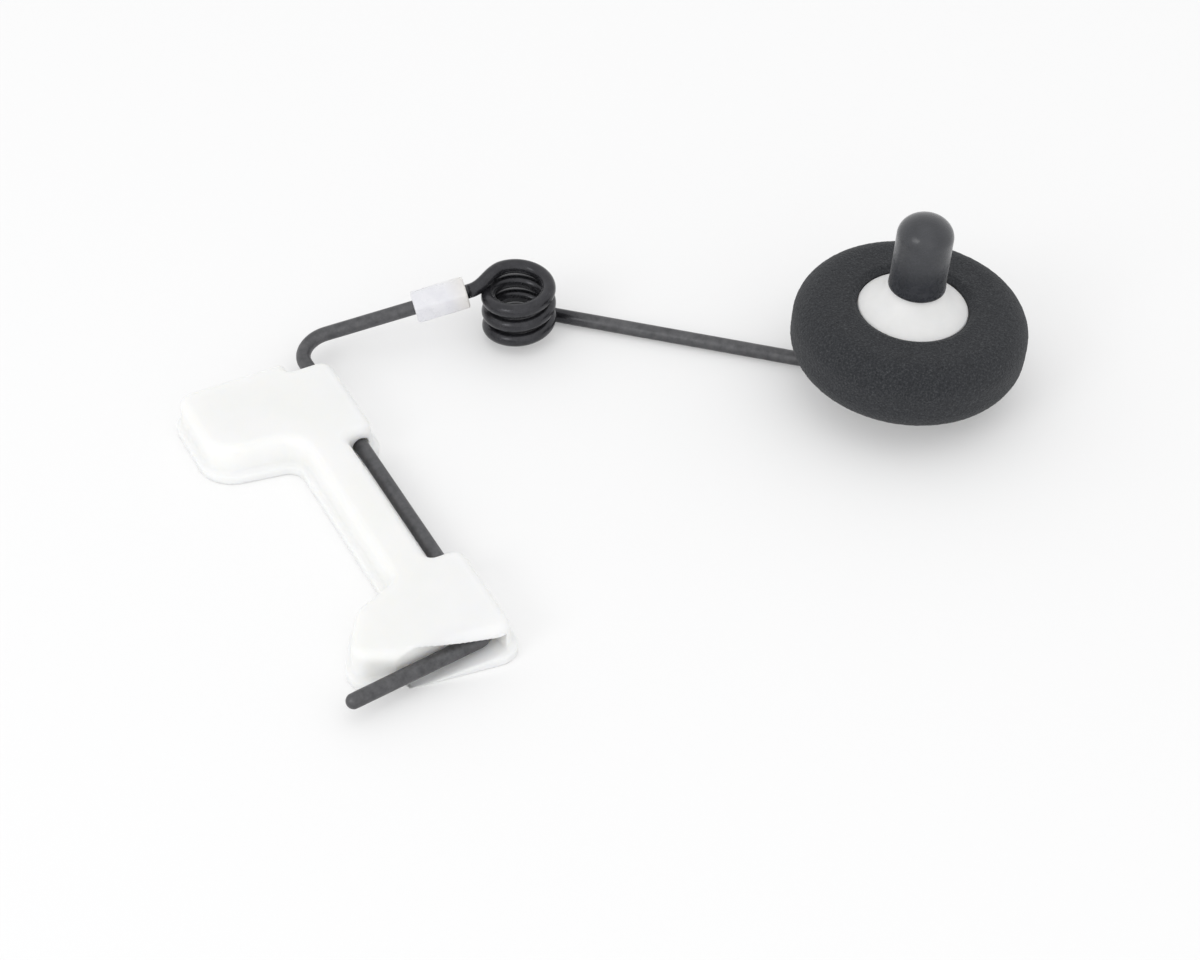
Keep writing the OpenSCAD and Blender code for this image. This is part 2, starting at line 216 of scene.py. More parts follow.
# Range in which most of a noise texture lies
NOISE_LOW, NOISE_HIGH = 0.3, 0.7

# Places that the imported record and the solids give
joint_at = {joint["name"]: Vector(joint["pos_m"]) for joint in frame["joints"]}
joint_way = {joint["name"]: Vector(joint["axis"]).normalized() for joint in frame["joints"]}
joint_range = {joint["name"]: joint.get("range_deg") for joint in frame["joints"]}
mount = {entry["name"]: entry for entry in frame["record"]["mounts"]}
wire_r = mount["leg_end"]["dims"]["r_mm"] * MM
pivot = joint_at["steering_swivel"]
coil_axis = joint_at["strut_flex"]
coil_middle = Vector((coil_axis.x, coil_axis.y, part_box("coil_spring")[1].z / 2))
bracket_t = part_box("mount_bracket")[1].z

# The axle leans: its heights are measured along it from the wheel's middle
axle = joint_at["wheel_spin"]
axle_way = joint_way["wheel_spin"]
axle_foot = axle - axle_way * ((axle.z - wire_r) / axle_way.z)
axle_turn = math.pi / 2 - axle_way.angle(Vector((0, 0, 1)))
axle_bend = SMALL_BEND_R * math.tan(axle_turn / 2) - (axle - axle_foot).length
boss_low = axle_bend + AXLE_PLAY
flange_top = HUB_W / 2
cap_low = flange_top + DOME_H + AXLE_PLAY
cap_high = cap_low + CAP_H
axle_top = cap_high - CAP_END
strut_way = Vector((math.cos(STRUT_DIR), math.sin(STRUT_DIR), 0))


def link(name, mesh):
    """Puts a mesh into the scene as an object of its own."""
    piece = bpy.data.objects.new(name, mesh)
    bpy.context.scene.collection.objects.link(piece)
    return piece


def smooth(mesh):
    """Shades every face of a mesh smooth."""
    mesh.polygons.foreach_set("use_smooth", [True] * len(mesh.polygons))


def made_mesh(name, points, faces):
    """A mesh with its faces turned outwards."""
    mesh = bpy.data.meshes.new(name)
    mesh.from_pydata([tuple(p) for p in points], [], faces)
    work = bmesh.new()
    work.from_mesh(mesh)
    bmesh.ops.recalc_face_normals(work, faces=work.faces)
    work.to_mesh(mesh)
    work.free()
    return mesh


def applied(piece):
    """Replaces a piece's mesh by what its modifiers make of it."""
    graph = bpy.context.evaluated_depsgraph_get()
    result = bpy.data.meshes.new_from_object(piece.evaluated_get(graph))
    piece.modifiers.clear()
    piece.data = result
    return piece


def cut_away(piece, cutters):
    """Takes cutters out of a piece, and then out of the scene."""
    for cutter in cutters:
        cut = piece.modifiers.new(cutter.name, "BOOLEAN")
        cut.operation = "DIFFERENCE"
        cut.solver = "EXACT"
        cut.object = cutter
    applied(piece)
    for cutter in cutters:
        bpy.data.objects.remove(cutter)


def dressed(piece, node, body, material):
    """Gives a piece its finish and lets it stand for its solid."""
    piece.data.materials.clear()
    piece.data.materials.append(material)
    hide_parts(node)
    if body:
        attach(piece, body)
    return piece


# Paths and outlines

def circle(radius, sides):
    """Points of a circle in the plane."""
    turns = [2 * math.pi * k / sides for k in range(sides)]
    return [(radius * math.cos(turn), radius * math.sin(turn)) for turn in turns]


def stacked_faces(rings, count):
    """Faces of a closed solid whose rings of points follow each other."""
    last = (rings - 1) * count
    sides = [(k * count + i, k * count + (i + 1) % count,
              (k + 1) * count + (i + 1) % count, (k + 1) * count + i)
             for k in range(rings - 1) for i in range(count)]
    return sides + [tuple(range(count))[::-1], tuple(range(last, last + count))]


def corner_points(a, b, c, radius, steps):
    """Points of the arc that rounds corner b between a and c, in the plane or in space."""
    u = (b - a).normalized()
    v = (c - b).normalized()
    turn = u.angle(v)
    first = b - u * radius * math.tan(turn / 2)
    inward = (v - u * u.dot(v)).normalized()
    bends = [turn * i / steps for i in range(steps + 1)]
    return [first + u * radius * math.sin(bend) + inward * radius * (1 - math.cos(bend))
            for bend in bends]


def grown_corner(a, b, c, out):
    """Corner b moved outwards on an outline that runs anticlockwise."""
    u = (b - a).normalized()
    v = (c - b).normalized()
    n = Vector((u.y, -u.x))
    m = Vector((v.y, -v.x))
    return b + (n + m) * out / (1 + n.dot(m))


def rounded(corners, out=0.0, steps=10):
    """Rounded closed outline through (x, y, radius) corners, grown outwards by a distance."""
    count = len(corners)
    flat = [Vector(k[:2]) for k in corners]
    grown = [grown_corner(flat[i - 1], flat[i], flat[(i + 1) % count], out) for i in range(count)]
    outline = []
    for i in range(count):
        a, b, c = grown[i - 1], grown[i], grown[(i + 1) % count]
        left = (b - a).cross(c - b) > 0
        radius = max(SHARP_R, corners[i][2] + (out if left else -out))
        outline += corner_points(a, b, c, radius, steps)
    return outline


def even(path, step):
    """A path with long stretches cut into equal steps."""
    points = [path[0]]
    for start, end in zip(path, path[1:]):
        pieces = max(1, round((end - start).length / step))
        points += [start.lerp(end, k / pieces) for k in range(1, pieces + 1)]
    return points


def tube(name, path, round_start=False):
    """Round wire along a path, with its length and girth as UVs, and flat or rounded ends."""
    radii = [wire_r] * len(path)
    if round_start:
        way = (path[0] - path[1]).normalized()
        tip = path[0]
        dome = [math.pi / 2 * k / TIP_STEPS for k in range(TIP_STEPS - 1, 0, -1)]
        path = [tip + way * (wire_r * math.sin(a) - wire_r) for a in dome] + [
            p for p in path if (p - tip).length > wire_r]
        radii = [wire_r * math.cos(a) for a in dome] + [wire_r] * (len(path) - len(dome))
    tangents = [(path[min(k + 1, len(path) - 1)] - path[max(k - 1, 0)]).normalized()
                for k in range(len(path))]
    side = tangents[0].orthogonal().normalized()
    points, along, walked = [], [], 0.0
    for k, here in enumerate(path):
        if k:
            side = tangents[k - 1].rotation_difference(tangents[k]) @ side
            walked += (here - path[k - 1]).length
        side = (side - tangents[k] * side.dot(tangents[k])).normalized()
        up = tangents[k].cross(side)
        along.append(walked)
        for i in range(WIRE_SIDES):
            turn = 2 * math.pi * i / WIRE_SIDES
            points.append(here + radii[k] * (math.cos(turn) * side + math.sin(turn) * up))
    mesh = bpy.data.meshes.new(name)
    mesh.from_pydata([tuple(p) for p in points], [], stacked_faces(len(path), WIRE_SIDES))
    uv = mesh.uv_layers.new(name="wire_uv")
    for face in mesh.polygons:
        seam = any(v % WIRE_SIDES == WIRE_SIDES - 1 for v in face.vertices)
        for loop in face.loop_indices:
            vertex = mesh.loops[loop].vertex_index
            girth = vertex % WIRE_SIDES
            if seam and girth == 0:
                girth = WIRE_SIDES
            length = along[vertex // WIRE_SIDES] / (2 * math.pi * wire_r)
            uv.data[loop].uv = (length, girth / WIRE_SIDES)
        face.use_smooth = len(face.vertices) == 4
    return link(name, mesh)


def revolved(name, profile, segments):
    """Solid of revolution about the axle from a closed (radius, height) outline."""
    points, faces = [], []
    count = len(profile)
    lean = Vector((0, 0, 1)).rotation_difference(axle_way)
    for s in range(segments):
        turn = 2 * math.pi * s / segments
        for r, z in profile:
            points.append(axle + lean @ Vector((r * math.cos(turn), r * math.sin(turn), z)))
    for s in range(segments):
        t = (s + 1) % segments
        for i in range(count):
            j = (i + 1) % count
            faces.append((s * count + i, s * count + j, t * count + j, t * count + i))
    mesh = made_mesh(name, points, faces)
    work = bmesh.new()
    work.from_mesh(mesh)
    bmesh.ops.remove_doubles(work, verts=work.verts, dist=MERGE_GAP)
    work.to_mesh(mesh)
    work.free()
    smooth(mesh)
    return link(name, mesh)


# Materials

class Finish:
    """A node-based material with one Principled shader and object-space noise."""

    def __init__(self, name):
        self.material = bpy.data.materials.new(name)
        self.material.use_nodes = True
        self.nodes = self.material.node_tree.nodes
        self.links = self.material.node_tree.links
        self.shader = self.nodes["Principled BSDF"]
        self.place = self.nodes.new("ShaderNodeTexCoord")

    def set(self, **values):
        """Sets values that are the same all over on the shader's own sockets."""
        for name, value in values.items():
            self.shader.inputs[name.replace("_", " ")].default_value = value

    def mapped(self, kind, scale, source="Object", at=(0, 0, 0)):
        """A texture node of a kind, with its coordinates scaled and then shifted."""
        mapping = self.nodes.new("ShaderNodeMapping")
        mapping.inputs["Location"].default_value = at
        mapping.inputs["Scale"].default_value = scale
        texture = self.nodes.new(kind)
        self.links.new(self.place.outputs[source], mapping.inputs["Vector"])
        self.links.new(mapping.outputs["Vector"], texture.inputs["Vector"])
        return texture

    def noise(self, size, detail=3.0, roughness=0.55, source="Object", stretch=(1, 1, 1)):
        """Noise whose features measure about a size in metres, or in UV units."""
        texture = self.mapped("ShaderNodeTexNoise", [1 / (size * s) for s in stretch], source)
        texture.inputs["Scale"].default_value = 1
        texture.inputs["Detail"].default_value = detail
        texture.inputs["Roughness"].default_value = roughness
        return texture.outputs["Fac"]

    def cells(self, size):
        """Distance to the nearest cell centre, for cells of about a size in metres."""
        texture = self.mapped("ShaderNodeTexVoronoi", [1 / size] * 3)
        texture.inputs["Scale"].default_value = 1
        return texture.outputs["Distance"]

    def gradient(self, kind, at, size):
        """Value that falls from a place over a size (SPHERICAL) or grows along X (LINEAR)."""
        start = [-c / size for c in at]
        texture = self.mapped("ShaderNodeTexGradient", [1 / size] * 3, at=start)
        texture.gradient_type = kind
        return texture.outputs["Fac"]

    def times(self, first, second):
        """Two colours multiplied."""
        node = self.nodes.new("ShaderNodeMix")
        node.data_type = "RGBA"
        node.blend_type = "MULTIPLY"
        node.inputs["Factor"].default_value = 1
        self.links.new(first, node.inputs["A"])
        self.links.new(second, node.inputs["B"])
        return node.outputs["Result"]

    def ramp(self, source, stops):
        """Colours spread over a value, as (place, colour) stops."""
        node = self.nodes.new("ShaderNodeValToRGB")
        for k, (place, colour) in enumerate(stops):
            entry = node.color_ramp.elements[k] if k < 2 else node.color_ramp.elements.new(place)
            entry.position = place
            entry.color = (*colour, 1)
        self.links.new(source, node.inputs["Fac"])
        return node.outputs["Color"]

    def mottled(self, size, detail, dark, pale):
        """Colour that drifts between two shades, in patches of a size."""
        patches = self.noise(size, detail)
        return self.ramp(patches, [(NOISE_LOW, dark), (NOISE_HIGH, pale)])

    def span(self, source, low, high):
        """A noise value spread over a new range."""
        node = self.nodes.new("ShaderNodeMapRange")
        node.inputs["From Min"].default_value = NOISE_LOW
        node.inputs["From Max"].default_value = NOISE_HIGH
        node.inputs["To Min"].default_value = low
        node.inputs["To Max"].default_value = high
        self.links.new(source, node.inputs["Value"])
        return node.outputs["Result"]

    def feed(self, source, socket):
        """Links a value or colour to one of the shader's sockets."""
        self.links.new(source, self.shader.inputs[socket])

    def bump(self, source, height, strength=1.0, under=None):
        """Adds relief of a height in metres, on top of an earlier bump."""
        node = self.nodes.new("ShaderNodeBump")
        node.inputs["Strength"].default_value = strength
        node.inputs["Distance"].default_value = height
        self.links.new(source, node.inputs["Height"])
        if under:
            self.links.new(under, node.inputs["Normal"])
        self.links.new(node.outputs["Normal"], self.shader.inputs["Normal"])
        return node.outputs["Normal"]


def white_moulding():
    """Satin white nylon that lets some light in."""
    finish = Finish("white_moulding")
    finish.set(IOR=1.5, Subsurface_Weight=0.6, Subsurface_Radius=(1.0, 0.95, 0.85),
               Subsurface_Scale=1.6 * MM)
    shade = finish.mottled(6 * MM, 2, dark=(0.90, 0.905, 0.885), pale=(0.925, 0.925, 0.92))
    finish.feed(shade, "Base Color")
    finish.feed(finish.span(finish.noise(0.8 * MM), 0.38, 0.52), "Roughness")
    finish.bump(finish.noise(0.25 * MM, detail=4), 0.012 * MM)
    return finish.material


def hub_plastic():
    """Satin white nylon of the hub, a little greyer than the bracket's."""
    finish = Finish("hub_plastic")
    finish.set(IOR=1.5, Subsurface_Weight=0.2, Subsurface_Radius=(1.0, 0.95, 0.85),
               Subsurface_Scale=0.6 * MM)
    shade = finish.mottled(2.5 * MM, 3, dark=(0.82, 0.82, 0.815), pale=(0.87, 0.87, 0.865))
    finish.feed(shade, "Base Color")
    finish.feed(finish.span(finish.noise(0.5 * MM), 0.36, 0.5), "Roughness")
    finish.bump(finish.noise(0.2 * MM, detail=4), 0.01 * MM)
    return finish.material


def sleeve_plastic():
    """Milky plastic that yellows towards the coil."""
    finish = Finish("sleeve_plastic")
    finish.set(IOR=1.49, Subsurface_Weight=0.25, Subsurface_Radius=(1.0, 0.95, 1.0),
               Subsurface_Scale=0.5 * MM)
    milky = finish.mottled(1.5 * MM, 2, dark=(0.76, 0.76, 0.8), pale=(0.82, 0.82, 0.85))
    along = finish.gradient("LINEAR", mount["sleeve_flats"]["pos_m"], SLEEVE_L / 2)
    aged = finish.ramp(along, [(0.1, (1, 1, 1)), (0.9, (0.97, 0.94, 0.86))])
    finish.feed(finish.times(milky, aged), "Base Color")
    finish.feed(finish.span(finish.noise(0.9 * MM), 0.24, 0.34), "Roughness")
    finish.bump(finish.noise(0.9 * MM, detail=1), 0.006 * MM)
    return finish.material


def spring_wire():
    """Oxidised steel, drawn along its length, glossier round the coil, where painted shade darkens
    its colour.
    """
    finish = Finish("spring_wire")
    finish.set(Metallic=0.55, IOR=1.6)
    drawn = finish.noise(0.09, detail=3, source="UV", stretch=(14, 1, 1))
    patches = finish.noise(0.9 * MM, detail=4, roughness=0.65)
    oxide = finish.ramp(patches, [(0.32, (0.064, 0.064, 0.068)), (0.68, (0.11, 0.11, 0.115))])
    # Painted shade: the base colour is darkened round the coil to stand in for the darker
    # reflections and shade it gets there; the roughness is lowered there too.
    coil_near = finish.gradient("SPHERICAL", coil_middle, COIL_DARK_REACH)
    painted_coil_shade = finish.ramp(coil_near, [(0.15, (1, 1, 1)), (0.45, (0.36, 0.36, 0.39))])
    finish.feed(finish.times(oxide, painted_coil_shade), "Base Color")
    worn = finish.ramp(coil_near, [(0.15, (1, 1, 1)), (0.45, (0.6, 0.6, 0.6))])
    finish.feed(finish.times(finish.span(drawn, 0.32, 0.48), worn), "Roughness")
    under = finish.bump(drawn, 0.01 * MM)
    finish.bump(finish.noise(0.15 * MM, detail=3), 0.008 * MM, under=under)
    return finish.material


def foam():
    """Black closed-cell foam with fine pores."""
    finish = Finish("foam")
    finish.set(IOR=1.4, Specular_IOR_Level=0.25, Sheen_Weight=0.08, Sheen_Roughness=0.6)
    pores = finish.cells(0.32 * MM)
    grain = finish.noise(0.2 * MM, detail=5, roughness=0.7)
    finish.feed(finish.ramp(grain, [(0.3, (0.012, 0.013, 0.015)), (0.52, (0.032, 0.034, 0.038)),
                                    (0.75, (0.085, 0.088, 0.093))]), "Base Color")
    finish.feed(finish.span(grain, 0.82, 0.98), "Roughness")
    under = finish.bump(pores, 0.08 * MM, strength=0.7)
    finish.bump(grain, 0.08 * MM, strength=0.8, under=under)
    return finish.material


def cap_rubber():
    """Smooth black rubber with a faint sheen."""
    finish = Finish("cap_rubber")
    finish.set(IOR=1.5, Specular_IOR_Level=0.65, Sheen_Weight=0.25, Sheen_Roughness=0.35)
    shade = finish.mottled(1.8 * MM, 3, dark=(0.022, 0.024, 0.029), pale=(0.034, 0.036, 0.043))
    finish.feed(shade, "Base Color")
    finish.feed(finish.span(finish.noise(0.5 * MM, detail=4), 0.22, 0.34), "Roughness")
    finish.bump(finish.noise(0.22 * MM, detail=4), 0.014 * MM)
    return finish.material


# Bracket

def bracket_corners():
    """Corners of the bracket's outline, each (x, y, radius), anticlockwise."""
    web_l, web_r = -WEB_W / 2, WEB_W / 2
    arm_y, leg_y = LOBE_GAP / 2, -LOBE_GAP / 2
    arm_end, leg_end = arm_y + ARM_LOBE_L, leg_y - LEG_LOBE_L
    arm_x, leg_x = pivot.x + ARM_LOBE_SIDE, pivot.x + LEG_LOBE_SIDE
    tongue_x, tongue_y = web_l - ARM_LOBE_REACH, arm_end - TONGUE_L
    tip_x = web_l - LEG_LOBE_REACH
    step_x = pivot.x - ARM_STEP_X
    return [(arm_x, arm_y, LOBE_CORNER_R),
            (arm_x, arm_end - ARM_STEP, LOBE_CORNER_R),
            (step_x, arm_end - ARM_STEP, ARM_STEP_R),
            (step_x, arm_end, ARM_STEP_R),
            (tongue_x, arm_end, LOBE_CORNER_R),
            (tongue_x, tongue_y + TONGUE_SLANT, TONGUE_R),
            (web_l, tongue_y, TONGUE_ROOT_R),
            (web_l, leg_y - LEG_ROOT_Y, LEG_ROOT_R),
            (tip_x + LEG_SHOULDER_X, leg_y - LEG_SHOULDER_Y, LEG_ROUND_R),
            (tip_x, leg_end + LEG_TIP_Y, LEG_TIP_R),
            (tip_x + LEG_HEEL_X, leg_end + LEG_HEEL_Y, LEG_ROUND_R),
            (leg_x, leg_end, LOBE_CORNER_R),
            (leg_x, leg_y, LOBE_CORNER_R),
            (web_r, leg_y, GAP_CORNER_R),
            (web_r, arm_y, GAP_CORNER_R)]


def bracket_levels():
    """Heights of the bracket's wall with how far each stands out from its outline."""
    levels = [(0, FOOT_OUT - FOOT_EDGE), (FOOT_EDGE, FOOT_OUT), (FOOT_H - FOOT_EDGE, FOOT_OUT)]
    for k in range(1, FOOT_STEPS + 1):
        turn = math.pi / 2 * k / FOOT_STEPS
        levels.append((FOOT_H - FOOT_EDGE + FOOT_BLEND * (1 - math.cos(turn)),
                       FOOT_OUT * (1 - math.sin(turn))))
    for k in range(EDGE_STEPS + 1):
        turn = math.pi / 2 * k / EDGE_STEPS
        levels.append((bracket_t - EDGE_R + EDGE_R * math.sin(turn), EDGE_R * (math.cos(turn) - 1)))
    return levels


def prism(name, outline, low, high):
    """Closed solid from an outline in the XY plane between two heights."""
    points = [(p[0], p[1], z) for z in (low, high) for p in outline]
    return link(name, made_mesh(name, points, stacked_faces(2, len(outline))))


def leg_corner_and_way():
    """Corner where the end leg meets the pivot, and the leg's direction."""
    way = Vector(mount["leg_end"]["axis"]).normalized()
    at = Vector(mount["leg_end"]["pos_m"])
    return at + way * (pivot.x - at.x) / way.x, way


def notch_cutter():
    """Fan-shaped solid that cuts the end leg's notch."""
    corner, way = leg_corner_and_way()
    swing = math.radians(joint_range["steering_swivel"][1])
    depth = wire_r + NOTCH_GAP
    half = depth / math.cos(swing)
    far = LEG_L + CUT_OVER
    spread = half + far * math.tan(swing)
    fan = [(depth, -half), (depth, half), (0, half), (-far, spread), (-far, -spread), (0, -half)]
    cutter = prism("notch_cutter", fan, -NOTCH_OUT, depth)
    lean = math.atan2(-way.y, -way.x)
    cutter.data.transform(Matrix.Translation(corner) @ Matrix.Rotation(lean, 4, "Z")
                          @ Matrix.Rotation(-math.pi / 2, 4, "X"))
    return cutter


def bore_cutter():
    """Round bar that cuts the pivot's bore through both lobes."""
    low = -LOBE_GAP / 2 - LEG_LOBE_L + BORE_INSET
    high = LOBE_GAP / 2 + ARM_LOBE_L + FOOT_OUT + CUT_OVER
    cutter = prism("bore_cutter", circle(BORE_R, BORE_SIDES), 0, high - low)
    cutter.data.transform(Matrix.Translation((pivot.x, low, pivot.z))
                          @ Matrix.Rotation(-math.pi / 2, 4, "X"))
    return cutter


def bracket():
    """The moulded bracket: stacked outlines, cut and then softened at every edge."""
    corners = bracket_corners()
    rings = [[(p.x, p.y, z) for p in rounded(corners, out)] for z, out in bracket_levels()]
    points = [p for ring in rings for p in ring]
    faces = stacked_faces(len(rings), len(rings[0]))
    piece = link("bracket_moulding", made_mesh("bracket_moulding", points, faces))
    cut_away(piece, [notch_cutter(), bore_cutter()])
    remesh = piece.modifiers.new("remesh", "REMESH")
    remesh.mode = "VOXEL"
    remesh.voxel_size = BRACKET_VOXEL
    relax = piece.modifiers.new("relax", "SMOOTH")
    relax.factor = RELAX_FACTOR
    relax.iterations = RELAX_PASSES
    thin = piece.modifiers.new("thin", "DECIMATE")
    thin.ratio = BRACKET_THIN
    applied(piece)
    smooth(piece.data)
    return dressed(piece, "mount_bracket", "bracket", white_moulding())


# Spring wire

def arm_places():
    """Corner of the arm's bend, the arm's direction, and the end where the coil starts."""
    way = Vector(mount["sleeve_flats"]["axis"]).normalized()
    middle = Vector(mount["sleeve_flats"]["pos_m"])
    corner = middle + way * (pivot.x - middle.x) / way.x
    return corner, way, middle + way * (SLEEVE_L / 2 + SLEEVE_BACK)


def steering_wire(finish):
    """The wire from the leg's tip through the bracket and along the arm."""
    leg_corner, leg_way = leg_corner_and_way()
    arm_corner, _, arm_end = arm_places()
    tip = leg_corner + leg_way * LEG_L
    path = ([tip] + corner_points(tip, leg_corner, arm_corner, SMALL_BEND_R, BEND_STEPS)
            + corner_points(leg_corner, arm_corner, arm_end, ARM_BEND_R, ARM_BEND_STEPS)
            + [arm_end])
    piece = tube("steering_rod", even(path, WIRE_STEP), round_start=True)
    return dressed(piece, "steering_wire", "steering", finish)


def coil(finish):
    """The torsion coil with its lead-in and lead-out; gives the place where its turns end."""
    _, arm_way, arm_end = arm_places()
    top_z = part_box("coil_spring")[1].z - wire_r
    end_angle = STRUT_DIR + math.pi / 2
    sweep = 2 * math.pi * COIL_TURNS + COIL_START - end_angle

    def on_coil(t):
        """Point of the coil's middle line, from its top at 0 to its foot at 1."""
        angle = COIL_START - sweep * t
        return Vector((coil_axis.x + COIL_R * math.cos(angle),
                       coil_axis.y + COIL_R * math.sin(angle), top_z + (wire_r - top_z) * t))

    first = on_coil(0)
    tangent = Vector((math.sin(COIL_START), -math.cos(COIL_START), 0))
    handle_a = arm_end + arm_way * LEAD_PULL
    handle_b = first - tangent * LEAD_PULL
    path = []
    for k in range(LEAD_STEPS):
        t = k / LEAD_STEPS
        s = 1 - t
        path.append(arm_end * s ** 3 + handle_a * (3 * s * s * t)
                    + handle_b * (3 * s * t * t) + first * t ** 3)
    path += [on_coil(k / COIL_STEPS) for k in range(COIL_STEPS + 1)]
    last = path[-1]
    path += [last + strut_way * LEAD_OUT_L * k / LEAD_OUT_STEPS
             for k in range(1, LEAD_OUT_STEPS + 1)]
    piece = tube("torsion_coil", path)
    dressed(piece, "coil_spring", None, finish)
    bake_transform(piece)
    return last


def strut(finish, coil_end):
    """The wire from the coil's foot to the wheel, and up through it as the axle."""
    start = coil_end + strut_way * LEAD_OUT_L
    top = axle + axle_way * axle_top
    path = [start] + corner_points(start, axle_foot, top, SMALL_BEND_R, BEND_STEPS) + [top]
    piece = tube("strut_and_axle", even(path, WIRE_STEP))
    return dressed(piece, "wheel_strut", "strut", finish)


def sleeve():
    """The hexagonal sleeve on the arm."""
    _, way, arm_end = arm_places()
    work = bmesh.new()
    half_side = math.pi / SLEEVE_SIDES
    outline = circle(SLEEVE_FLATS / 2 / math.cos(half_side), SLEEVE_SIDES)
    corners = [work.verts.new((x, y, z)) for z in (0, SLEEVE_L) for x, y in outline]
    for face in stacked_faces(2, SLEEVE_SIDES):
        work.faces.new([corners[k] for k in face])
    bmesh.ops.bevel(work, geom=work.edges[:], offset=SLEEVE_BEVEL, segments=SLEEVE_BEVEL_STEPS,
                    profile=0.5, affect="EDGES")
    mesh = bpy.data.meshes.new("hex_sleeve")
    work.to_mesh(mesh)
    work.free()
    piece = link("hex_sleeve", mesh)
    bore = circle(wire_r, BORE_SIDES)
    cut_away(piece, [prism("sleeve_cutter", bore, -CUT_OVER, SLEEVE_L + CUT_OVER)])
    across = Vector((0, 0, 1)).cross(way).normalized()
    upward = way.cross(across)
    start = arm_end - way * (SLEEVE_BACK + SLEEVE_L)
    turn = Matrix((across, upward, way)).transposed().to_4x4()
    piece.data.transform(Matrix.Translation(start) @ turn @ Matrix.Rotation(half_side, 4, "Z"))
    for face in piece.data.polygons:
        face.use_smooth = face.area < SLEEVE_FLAT_AREA
    piece.data.set_sharp_from_angle(angle=SLEEVE_SHARP)
    return dressed(piece, "arm_sleeve", "steering", sleeve_plastic())


# Wheel

def hub_outer(finish):
    """The hub's domed half, with the spigot that fills the other half's socket."""
    low = FLANGE_T + 2 * HUB_GAP - flange_top
    run = FLANGE_R - DOME_TOP_R
    dome = []
    for k in range(DOME_STEPS + 1):
        t = k / DOME_STEPS
        hollow = DOME_HOLLOW * math.sin(math.pi * t)
        dome.append(Vector((FLANGE_R - run * (t + hollow), flange_top + DOME_H * (t - hollow))))
    profile = [(HUB_BORE_R, low), (SPIGOT_R, low), (SPIGOT_R, 0), (BARREL_R, 0),
               (BARREL_R, flange_top - FLANGE_T), (FLANGE_R - SHARP_R, flange_top - FLANGE_T),
               (FLANGE_R, flange_top - FLANGE_T + SHARP_R)]
    rim = corner_points(Vector(profile[-1]), dome[0], dome[RIM_REACH], RIM_R, RIM_STEPS)
    profile += [(p.x, p.y) for p in rim + dome[RIM_REACH:]] + [(HUB_BORE_R, dome[-1].y)]
    piece = revolved("hub_outer_half", profile, WHEEL_SIDES)
    piece.data.set_sharp_from_angle(angle=HUB_SHARP)
    return dressed(piece, "hub_outer", "wheel", finish)


def hub_inner(finish):
    """The hub's half on the strut's side, with its boss and socket."""
    flange_low = -flange_top
    socket_r = SPIGOT_R + HUB_GAP
    socket_z = flange_low + FLANGE_T + HUB_GAP
    corners = [(HUB_BORE_R, boss_low, SHARP_R), (BOSS_R, boss_low, BOSS_EDGE_R),
               (BOSS_R, flange_low, BOSS_ROOT_R), (FLANGE_R, flange_low, INNER_RIM_R),
               (FLANGE_R, flange_low + FLANGE_T, SHARP_R),
               (BARREL_R, flange_low + FLANGE_T, SHARP_R), (BARREL_R, 0, SHARP_R),
               (socket_r, 0, SHARP_R), (socket_r, socket_z, SHARP_R),
               (HUB_BORE_R, socket_z, SHARP_R)]
    outline = rounded(corners, steps=HUB_CORNER_STEPS)
    piece = revolved("hub_inner_half", outline, WHEEL_SIDES)
    piece.data.set_sharp_from_angle(angle=HUB_SHARP)
    return dressed(piece, "hub_inner", "wheel", finish)


def tyre():
    """The foam ring, its surface roughened inwards."""
    recess = FLANGE_R + HUB_GAP
    lip_x = recess + LIP_W
    seat = HUB_W / 2 - FLANGE_T
    lip = HUB_W / 2 + LIP_STEP
    half = [(BARREL_R, seat, SHARP_R), (recess, seat, SHARP_R), (recess, lip, LIP_STEP),
            (lip_x, TYRE_HALF_W, LIP_R), (TYRE_R, TYRE_HALF_W, SHOULDER_R)]
    corners = [(r, -z, k) for r, z, k in half] + half[::-1]
    outline = rounded(corners, steps=TYRE_CORNER_STEPS)
    outline = even(outline + outline[:1], TYRE_STEP)[:-1]
    piece = revolved("foam_ring", [(p.x, p.y) for p in outline], TYRE_SIDES)
    normals = [vertex.normal.copy() for vertex in piece.data.vertices]
    for vertex, normal in zip(piece.data.vertices, normals):
        if (vertex.co - axle).cross(axle_way).length < FLANGE_R + 2 * HUB_GAP:
            continue
        coarse, fine = (noise.noise(vertex.co / size) for size in (FOAM_COARSE, FOAM_FINE))
        vertex.co -= normal * FOAM_DEPTH * (1 + coarse + FOAM_FINE_SHARE * fine)
    return dressed(piece, "foam_tyre", "wheel", foam())


def cap():
    """The domed rubber cap on the axle's end."""
    inner = Vector((wire_r, cap_low))
    base = Vector((CAP_R + CAP_FLARE, cap_low))
    waist = Vector((CAP_R, cap_low + CAP_FLARE_H))
    brow = Vector((CAP_R, cap_high - CAP_DOME_H))
    profile = [inner] + corner_points(inner, base, waist, CAP_EDGE_R, CAP_CORNER_STEPS)
    profile += corner_points(base, waist, brow, CAP_FLARE_H / 2, CAP_CORNER_STEPS)
    for k in range(CAP_STEPS + 1):
        turn = math.pi / 2 * k / CAP_STEPS
        profile.append(brow + Vector((CAP_R * (math.cos(turn) - 1), CAP_DOME_H * math.sin(turn))))
    profile += [Vector((0, axle_top)), Vector((wire_r, axle_top))]
    piece = revolved("axle_cap_rubber", [(p.x, p.y) for p in profile], WHEEL_SIDES)
    piece.data.set_sharp_from_angle(angle=CAP_SHARP)
    return dressed(piece, "axle_cap", "strut", cap_rubber())


# Stage

